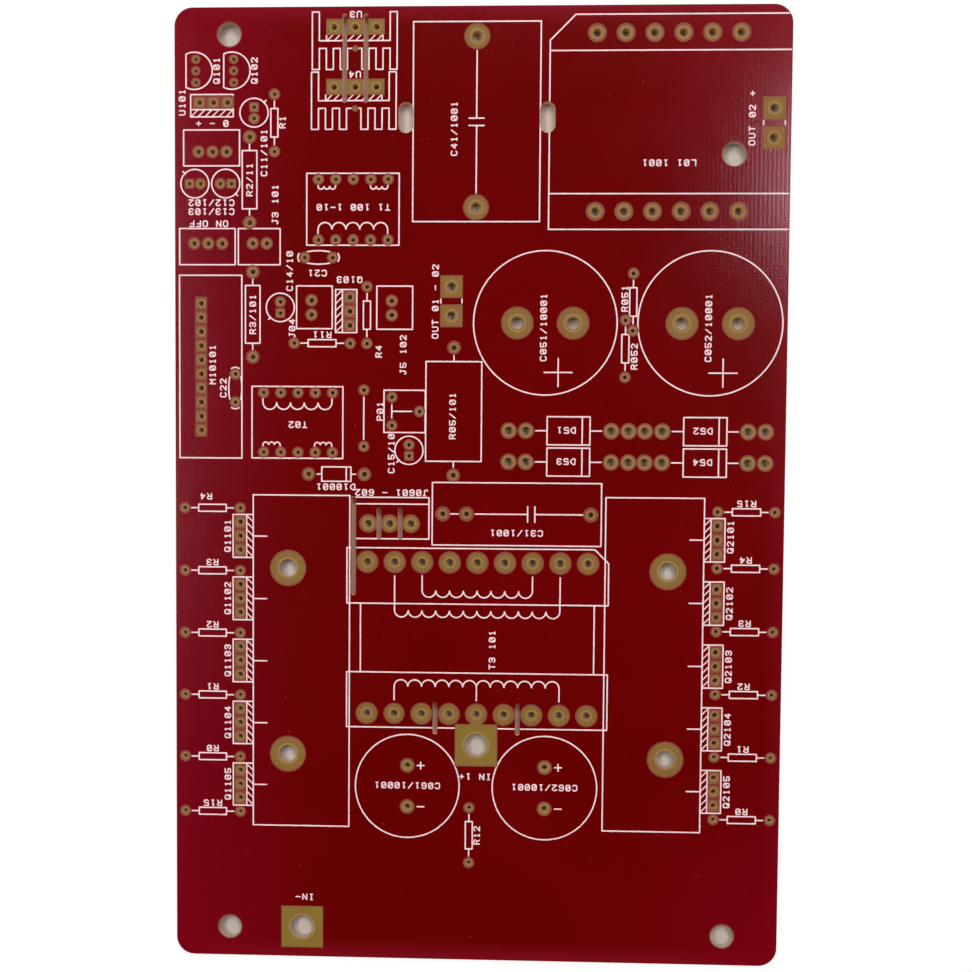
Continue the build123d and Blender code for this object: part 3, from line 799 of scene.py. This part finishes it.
# Output end: film capacitor, choke, power devices on coolers and output terminals
# The film capacitor has its symbol between its leads, the choke's outline runs to the board's edge, and
# the coolers are drawn with the comb of their fins.
FILM_SHARES, FILM_WIDTH, FILM_LENGTH = (-0.006, 0.3817), 22.7, 35.2
FILM_GAP, FILM_PLATE, FILM_WIRE, FILM_LABEL = 0.65, 1.35, 12.5, (-4.0, -1.2)
film = spot(*FILM_SHARES)
strokes = pen_box(film, FILM_WIDTH, FILM_LENGTH)
for side in (-1, 1):
    plate = film + Vector((0, side * FILM_GAP))
    strokes += pen_bar(plate, FILM_PLATE, 0)
    strokes.append(pen_line(plate, film + Vector((0, side * FILM_WIRE))))
strokes += label("C41/1001", film, FILM_LABEL)

CHOKE_SHARES, CHOKE_WIDTH, CHOKE_LENGTH = (0.3028, 0.381), 42.0, 37.7
CHOKE_CHAMFER, CHOKE_BAND, CHOKE_LABEL = 4.5, 6.3, (0.3, -7.15)
choke = spot(*CHOKE_SHARES)
x, y = CHOKE_WIDTH / 2, CHOKE_LENGTH / 2
edge = BOARD_WIDTH / 2 - PEN - choke.x
corners = [(x, y), (CHOKE_CHAMFER - x, y), (-x, y - CHOKE_CHAMFER), (-x, -y), (edge, -y)]
strokes += pen_path([choke + Vector(corner) for corner in corners])
for side in (-1, 1):
    line = choke + Vector((0, side * (y - CHOKE_BAND)))
    strokes.append(pen_line(line - Vector((x, 0)), line + Vector((edge, 0))))
strokes += label("L01 1001", choke, CHOKE_LABEL, OVER)

COOLER_SHARES = ((-0.2049, 0.4651, "U3"), (-0.2061, 0.4038, "U4"))
COOLER_HALF, COOLER_TOP, COOLER_BASE, COOLER_LABEL = 7.6, 5.05, 0.0, (0.2, 4.6)
FIN, COMB_TOP, COMB_EDGES = 1.26, -1.35, 5
STRIP_HALF, STRIP_DEPTH = 5.05, 1.0
for across_share, along_share, words in COOLER_SHARES:
    cooler = spot(across_share, along_share)
    inner = COOLER_HALF - FIN
    shell = [(-COOLER_HALF, -COOLER_TOP), (-COOLER_HALF, COOLER_TOP), (-inner, COOLER_TOP)]
    shell += [(-inner, COOLER_BASE), (inner, COOLER_BASE), (inner, COOLER_TOP)]
    shell += [(COOLER_HALF, COOLER_TOP), (COOLER_HALF, -COOLER_TOP)]
    comb = [(-COOLER_HALF, -COOLER_TOP)]
    for fin in range(1, COMB_EDGES + 1):
        edge = fin * FIN - COOLER_HALF
        rising = fin % 2 == 1
        comb += [(edge, -COOLER_TOP if rising else COMB_TOP), (edge, COMB_TOP if rising else -COOLER_TOP)]
    mirrored = [(-edge, height) for edge, height in reversed(comb)]
    strokes += pen_path([cooler + Vector(corner) for corner in shell])
    strokes += pen_path([cooler + Vector(corner) for corner in comb + mirrored])
    strokes += hatch(cooler + Vector((0, STRIP_DEPTH / 2)), STRIP_DEPTH, 2 * STRIP_HALF, False)
    for end in (-STRIP_HALF, STRIP_HALF):
        strokes.append(pen_line(cooler + Vector((end, 0)), cooler + Vector((end, STRIP_DEPTH))))
    strokes += label(words, cooler, COOLER_LABEL, OVER)

OUTPUTS = ((-0.045, 0.1973, "OUT 01 - 02", (-2.9, -0.1)), (0.4728, 0.38, "OUT 02 +", (-3.9, 0.8)))
OUTPUT_HALF, OUTPUT_TICK = 1.9, 0.35
for across_share, along_share, words, aside in OUTPUTS:
    centre = spot(across_share, along_share)
    for side in (-1, 1):
        strokes += pen_bar(centre + Vector((side * OUTPUT_HALF, 0)), 0, OUTPUT_TICK)
    strokes += label(words, centre, aside)
print_ink("legend_output_end", strokes)

# Control corner: headers, small transistors, resistors, cans and the control module
# The small outlines at the upper left, each drawn round its own leads.
HEADERS = (
    (-0.4393, 0.3556, 10.14, 6.37), (-0.4465, 0.2534, 10.1, 6.47), (-0.3609, 0.2534, 7.59, 6.46),
    (-0.2698, 0.1905, 6.47, 7.64), (-0.1378, 0.1903, 6.46, 7.71),
)
SIGN_SHARES, SIGN_HEIGHT, SIGN_STEP = (-0.4381, 0.3517), 5.0, 2.47
HEADER_LABELS = (
    (-0.4453, 0.2568, "ON OFF", (0.1, 3.5), OVER), (-0.3602, 0.2569, "J3 101", (2.8, 6.9), UPRIGHT),
    (-0.2747, 0.1904, "J04", (-3.5, -3.8), UPRIGHT), (-0.1426, 0.1901, "J5 102", (2.1, -8.4), UPRIGHT),
)
strokes = []
for across_share, along_share, width, length in HEADERS:
    strokes += pen_box(spot(across_share, along_share), width, length)
for count, sign in enumerate("+-0"):
    strokes += label(sign, spot(*SIGN_SHARES), ((count - 1) * SIGN_STEP, SIGN_HEIGHT), OVER)
for across_share, along_share, words, aside, turn in HEADER_LABELS:
    strokes += label(words, spot(across_share, along_share), aside, turn)

TRANSISTOR_SHARES = ((-0.4651, 0.435), (-0.403, 0.435))
TRANSISTOR_RADIUS, TRANSISTOR_OFFSET, TRANSISTOR_FLAT = 3.3, 0.3, 1.77
TRANSISTOR_LABEL = (3.75, 0)
for number, shares in enumerate(TRANSISTOR_SHARES):
    leads = spot(*shares)
    centre = leads - Vector((TRANSISTOR_OFFSET, 0))
    opening = math.degrees(math.acos((TRANSISTOR_OFFSET - TRANSISTOR_FLAT) / TRANSISTOR_RADIUS))
    strokes += pen_arc(centre, TRANSISTOR_RADIUS, -opening, opening)
    half = TRANSISTOR_RADIUS * math.sin(math.radians(opening))
    strokes += pen_bar(leads - Vector((TRANSISTOR_FLAT, 0)), 0, half)
    strokes += label(f"Q10{number + 1}", leads, TRANSISTOR_LABEL)

REGULATOR_SHARES, SWITCH_SHARES = (-0.4386, 0.3991), (-0.2175, 0.1867)
REGULATOR_WIDTH, REGULATOR_DEPTH, REGULATOR_BAND, REGULATOR_LINE = 7.7, 3.95, 1.35, 0.7
SWITCH_WIDTH, SWITCH_LENGTH, SWITCH_BAND, SWITCH_LINE, SWITCH_REACH = 3.84, 7.69, 1.3, 0.67, 3.85
REGULATOR_LABEL, SWITCH_LABEL = (-5.4, 0.6), (0.6, 5.6)
regulator = spot(*REGULATOR_SHARES)
strokes += pen_box(regulator, REGULATOR_WIDTH, REGULATOR_DEPTH)
strokes += hatch(regulator - Vector((0, REGULATOR_BAND)), HATCH_DEPTH, REGULATOR_WIDTH, False)
strokes += pen_bar(regulator - Vector((0, REGULATOR_LINE)), REGULATOR_WIDTH / 2, 0)
strokes += label("U101", regulator, REGULATOR_LABEL)
switch = spot(*SWITCH_SHARES)
strokes += pen_box(switch, SWITCH_WIDTH, SWITCH_LENGTH)
strokes += hatch(switch - Vector((SWITCH_BAND, 0)), HATCH_DEPTH, SWITCH_LENGTH, True)
strokes += pen_bar(switch - Vector((SWITCH_LINE, 0)), 0, SWITCH_REACH)
strokes += label("Q103", switch, SWITCH_LABEL, OVER)

RESISTORS = (
    (-0.336, 0.3813, True, "R1", (1.45, 0.1), UPRIGHT), (-0.1833, 0.1825, True, "R4", (2.15, -6.5), UPRIGHT),
    (-0.257, 0.1532, False, "R11", (0.0, 1.5), OVER),
)
for across_share, along_share, along, words, aside, turn in RESISTORS:
    strokes += axial(spot(across_share, along_share), along)
    strokes += label(words, spot(across_share, along_share), aside, turn)
POWER_RESISTORS = ((-0.3768, 0.3227, "R2/11"), (-0.3716, 0.183, "R3/101"))
POWER_LENGTH, POWER_WIDTH, POWER_STUB = 10.35, 2.65, 6.4
for across_share, along_share, words in POWER_RESISTORS:
    strokes += axial(spot(across_share, along_share), True, POWER_LENGTH, POWER_WIDTH, POWER_STUB)
    strokes += label(words, spot(across_share, along_share))

CAN_RADIUS, CAN_TICK = 2.56, (1.75, 2.15)
CANS = (
    (-0.3694, 0.3918, (0, 1), "C11/101", (1.8, -7.1), UPRIGHT),
    (-0.467, 0.3187, (-1, 0), "C12/102", (3.0, -3.4), OVER),
    (-0.4161, 0.3188, (1, 0), "C13/103", (-2.6, -5.0), OVER),
    (-0.3261, 0.1903, (0, -1), "C14/10", (1.7, 6.5), UPRIGHT),
    (-0.1132, 0.0417, (0, -1), "C15/10", (-3.2, -0.6), UPRIGHT),
)
for across_share, along_share, square_end, words, aside, turn in CANS:
    can = spot(across_share, along_share)
    strokes += pen_ring(can, CAN_RADIUS)
    way = Vector(square_end) + Vector((square_end[1], -square_end[0]))
    strokes.append(pen_line(can + way * CAN_TICK[0], can + way * CAN_TICK[1]))
    strokes += label(words, can, aside, turn)

CERAMICS = (
    (-0.2631, 0.2423, 0, "C21", (-0.2, -2.8), OVER), (-0.4005, 0.1059, 90, "C22", (-2.2, 0.0), UPRIGHT),
)
CERAMIC_BOW, CERAMIC_HALF, CERAMIC_WAIST = 11.0, 2.1, 1.2
CERAMIC_END, CERAMIC_END_RADIUS, CERAMIC_END_TURN = 3.75, 1.2, 40
for across_share, along_share, facing, words, aside, turn in CERAMICS:
    ceramic = spot(across_share, along_share)
    bow_turn = math.degrees(math.asin(CERAMIC_HALF / CERAMIC_BOW))
    for side, radius, far, reach in (
        (90, CERAMIC_BOW, CERAMIC_WAIST, bow_turn), (270, CERAMIC_BOW, CERAMIC_WAIST, bow_turn),
        (0, CERAMIC_END_RADIUS, CERAMIC_END, CERAMIC_END_TURN),
        (180, CERAMIC_END_RADIUS, CERAMIC_END, CERAMIC_END_TURN),
    ):
        way = Matrix.Rotation(math.radians(side + facing), 2) @ Vector((1, 0))
        centre = ceramic + way * (far - radius)
        strokes += pen_arc(centre, radius, side + facing - reach, side + facing + reach)
    strokes += label(words, ceramic, aside, turn)

MODULE_SHARES, MODULE_WIDTH, MODULE_LENGTH = (-0.4573, 0.128), 11.35, 32.9
MODULE_OFFSET, MODULE_LABEL = (1.77, 0), (2.1, 0.4)
module = spot(*MODULE_SHARES)
strokes += pen_box(module + Vector(MODULE_OFFSET), MODULE_WIDTH, MODULE_LENGTH)
strokes += label("M10101", module, MODULE_LABEL)

PULSE = (
    (-0.2070, 0.2921, 16.64, 12.76, 1, "T1 100 1-10", (0.1, 0.35)),
    (-0.2976, 0.0702, 16.54, 12.93, -1, "T02", (0.1, -0.4)),
)
PULSE_PITCH = 3.14
MAIN_DROP, MAIN_BUMPS, MAIN_LEG = 3.6, 5, 0.75
GATE_RISE, GATE_BUMPS, GATE_LEG = 4.1, 3, 0.3
for across_share, along_share, width, length, side, words, aside in PULSE:
    centre = spot(across_share, along_share)
    strokes += pen_box(centre, width, length)
    reach = Vector((2 * PULSE_PITCH, 0))
    row = centre - Vector((0, side * MAIN_DROP))
    strokes += winding(row - reach, row + reach, MAIN_BUMPS, side, MAIN_LEG)
    for way in (-1, 1):
        start = centre + Vector((way * 1.5 * PULSE_PITCH - PULSE_PITCH / 2, side * GATE_RISE))
        strokes += winding(start, start + Vector((PULSE_PITCH, 0)), GATE_BUMPS, -side, GATE_LEG)
    strokes += label(words, centre, aside, OVER)

JUMPER_SHARES, JUMPER_REACH = (-0.1879, 0.075), 3.8
strokes += pen_bar(spot(*JUMPER_SHARES), 0, JUMPER_REACH)
TRIMMER_SHARES, TRIMMER_WIDTH, TRIMMER_LENGTH = (-0.1207, 0.0824), 7.46, 7.6
TRIMMER_LEADS, TRIMMER_LABEL = (-0.119, 0.0824), (-4.45, 0)
WIPER_FROM, WIPER_TO, WIPER_BAR = -2.5, 1.1, 1.2
strokes += pen_box(spot(*TRIMMER_SHARES), TRIMMER_WIDTH, TRIMMER_LENGTH)
wiper = spot(*TRIMMER_LEADS) + Vector((WIPER_FROM, 0))
strokes += pen_bar(wiper, 0, WIPER_BAR)
strokes.append(pen_line(wiper, spot(*TRIMMER_LEADS) + Vector((WIPER_TO, 0))))
strokes += label("P01", spot(*TRIMMER_SHARES), TRIMMER_LABEL)
WIRE_WOUND_SHARES, WIRE_WOUND_LABEL = (-0.0402, 0.0825), (-0.2, -0.8)
WIRE_WOUND_WIDTH, WIRE_WOUND_LENGTH, WIRE_WOUND_STUB = 10.05, 17.9, 10.0
wire_wound = spot(*WIRE_WOUND_SHARES)
strokes += axial(wire_wound, True, WIRE_WOUND_LENGTH, WIRE_WOUND_WIDTH, WIRE_WOUND_STUB)
strokes += label("R05/101", wire_wound, WIRE_WOUND_LABEL)
RECTIFIER_SHARES, RECTIFIER_LABEL = (-0.2329, 0.0162), (-0.1, -2.3)
RECTIFIER_LENGTH, RECTIFIER_WIDTH, RECTIFIER_STUB, RECTIFIER_BAND = 5.3, 2.6, 3.5, 1.8
rectifier = spot(*RECTIFIER_SHARES)
strokes += axial(rectifier, False, RECTIFIER_LENGTH, RECTIFIER_WIDTH, RECTIFIER_STUB)
strokes += pen_bar(rectifier + Vector((RECTIFIER_BAND, 0)), 0, RECTIFIER_WIDTH / 2)
strokes += label("D10001", rectifier, RECTIFIER_LABEL, OVER)
print_ink("legend_control", strokes)

# The solder side
# The copper lands round the leads, tinned, in a second film of the same lacquer that leaves them bare.
LAND_LEAST, LAND_RING, LAND_RIM = 1.0, 0.65, 0.12
LAND_LOW, LAND_HIGH = 0.015, FOIL
lands = []
land_windows = []
for centre, radius in lead_holes:
    size = max(LAND_LEAST, radius + LAND_RING)
    lands.append(circle(centre, size))
    land_windows.append(circle(centre, size + LAND_RIM))
drilled = [circle(*hole) for hole in holes]
points, triangles = region(lands, drilled + slots)
copper = flat_solid("solder_lands", points, triangles, LAND_LOW, LAND_HIGH)
TIN_BRIGHT = (0.7, 0.7, 0.68, 1)
TIN_DULL = (0.45, 0.45, 0.44, 1)
TIN_BLOTCHES = (0.8, 0.3, 0.7)
TIN_ROUGHNESS, TIN_SHINE = 0.35, 0.5
finish, tree, surface, place = new_finish("tinned_copper", TIN_ROUGHNESS, TIN_SHINE)
tin = mixed(tree, blotches(tree, place, *TIN_BLOTCHES), TIN_BRIGHT, TIN_DULL)
tree.links.new(tin, surface.inputs["Base Color"])
surface.inputs["Metallic"].default_value = 1.0
copper.data.materials.append(finish)
points, triangles = region([sheet_outline], land_windows + drilled + slots)
under_mask = flat_solid("solder_side_mask", points, triangles, 0.0, FOIL)
under_mask.data.materials.append(mask.data.materials[0])

# Floor, light and camera
# The board lies on a plain white floor under large soft lamps, and the camera looks down on it.
FLOOR_HALF, FLOOR_DROP = 3.0, 0.0002
floor_corners = rectangle(Vector((0, 0)), Vector((FLOOR_HALF, FLOOR_HALF)))
floor_mesh = bpy.data.meshes.new("floor")
floor_mesh.from_pydata([corner.to_3d() for corner in floor_corners], [], [(0, 1, 2, 3)])
floor = bpy.data.objects.new("floor", floor_mesh)
floor.location.z = -FLOOR_DROP
bpy.context.collection.objects.link(floor)
PAPER_WHITE = (0.9, 0.9, 0.9, 1)
PAPER_SHADED = (0.46, 0.41, 0.345, 1)
PAPER_ROUGHNESS = 0.9
CORNER_RADIUS = 0.0033
GLOW_SHARE, GLOW_STRENGTH = 0.8, 1.05
paper = bpy.data.materials.new("white_floor")
paper.use_nodes = True
tree = paper.node_tree
surface = tree.nodes["Principled BSDF"]
surface.inputs["Roughness"].default_value = PAPER_ROUGHNESS
rays = add_node(tree, "ShaderNodeLightPath").outputs
seen = reckoned(tree, "MAXIMUM", rays["Is Camera Ray"], rays["Is Glossy Ray"])
seen = reckoned(tree, "MAXIMUM", seen, rays["Is Transmission Ray"])
where = add_node(tree, "ShaderNodeNewGeometry").outputs["Position"]
where = add_node(tree, "ShaderNodeSeparateXYZ", (0, where)).outputs
past = []
for axis, half in (("X", high.x), ("Y", high.y)):
    reach = reckoned(tree, "ABSOLUTE", where[axis])
    reach = reckoned(tree, "SUBTRACT", reach, half - CORNER_RADIUS)
    past.append(reckoned(tree, "MAXIMUM", reach, 0.0))
past = add_node(tree, "ShaderNodeCombineXYZ", *enumerate(past)).outputs[0]
past = add_node(tree, "ShaderNodeVectorMath", (0, past), operation="LENGTH").outputs["Value"]
beyond = reckoned(tree, "GREATER_THAN", past, CORNER_RADIUS)
tree.links.new(mixed(tree, beyond, PAPER_SHADED, PAPER_WHITE), surface.inputs["Base Color"])
share = reckoned(tree, "MULTIPLY", reckoned(tree, "MULTIPLY", seen, beyond), GLOW_SHARE)
glow = add_node(tree, "ShaderNodeEmission", ("Strength", GLOW_STRENGTH)).outputs[0]
blend = add_node(tree, "ShaderNodeMixShader", (0, share), (1, surface.outputs[0]), (2, glow)).outputs[0]
tree.links.new(blend, tree.nodes["Material Output"].inputs["Surface"])
floor_mesh.materials.append(paper)

WHITE_LAMP, PINK_LAMP = (1, 1, 1), (1, 0.78, 0.95)
LAMPS = (
    ("left_softbox", (-0.432, 0.12, 0.75), (0, 0.12), (0.5, 0.18), 3.5, WHITE_LAMP),
    ("right_softbox", (0.38, 0.2, 0.75), (0, 0.2), (0.5, 0.18), 1.5, WHITE_LAMP),
    ("window_glint", (0.275, 0.242, 0.75), (0.275, 0.242), (0.12, 0.1), 0.95, PINK_LAMP),
    ("far_softbox", (0.1, 0.9, 1.2), (0, 0), (0.96, 0.38), 9.6, WHITE_LAMP),
    ("near_softbox", (0.05, -0.85, 0.7), (0, 0), (0.6, 0.5), 1.1, WHITE_LAMP),
)
for name, place, aim, size, power, colour in LAMPS:
    lamp = bpy.data.lights.new(name, "AREA")
    lamp.color = colour
    lamp.shape = "RECTANGLE"
    lamp.size, lamp.size_y = size
    lamp.energy = power
    stand = bpy.data.objects.new(name, lamp)
    stand.location = place
    stand.rotation_euler = (Vector(place) - Vector((*aim, 0))).to_track_quat("Z", "Y").to_euler()
    bpy.context.collection.objects.link(stand)

AMBIENT, BACKDROP = 0.02, 1.0
world = bpy.data.worlds.new("studio")
world.use_nodes = True
tree = world.node_tree
rays = add_node(tree, "ShaderNodeLightPath").outputs
level = ramped(tree, rays["Is Camera Ray"], ("To Min", AMBIENT), ("To Max", BACKDROP))
tree.nodes["Background"].inputs["Color"].default_value = (1, 1, 1, 1)
tree.links.new(level, tree.nodes["Background"].inputs["Strength"])
bpy.context.scene.world = world

FRAME_PIXELS = 972
FOCAL_PIXELS = 1250
FRAMING_PIXELS = 60
CAMERA_PLACE = (9.97, -0.08, 227.26)
CAMERA_TURN = (-0.0437, 0.0372, 0.0088)
SENSOR_WIDTH = 36.0
NEAR_CLIP = 0.01
camera_data = bpy.data.cameras.new("camera")
camera_data.sensor_width = SENSOR_WIDTH
camera_data.lens = SENSOR_WIDTH * FOCAL_PIXELS / FRAME_PIXELS
camera_data.shift_y = FRAMING_PIXELS / FRAME_PIXELS
camera_data.clip_start = NEAR_CLIP
camera = bpy.data.objects.new("camera", camera_data)
camera.location = Vector(CAMERA_PLACE) * MM
turn = Vector(CAMERA_TURN)
camera.rotation_mode = "AXIS_ANGLE"
camera.rotation_axis_angle = (turn.length, *turn.normalized())
bpy.context.collection.objects.link(camera)
bpy.context.scene.camera = camera
bpy.context.scene.view_settings.view_transform = "Standard"
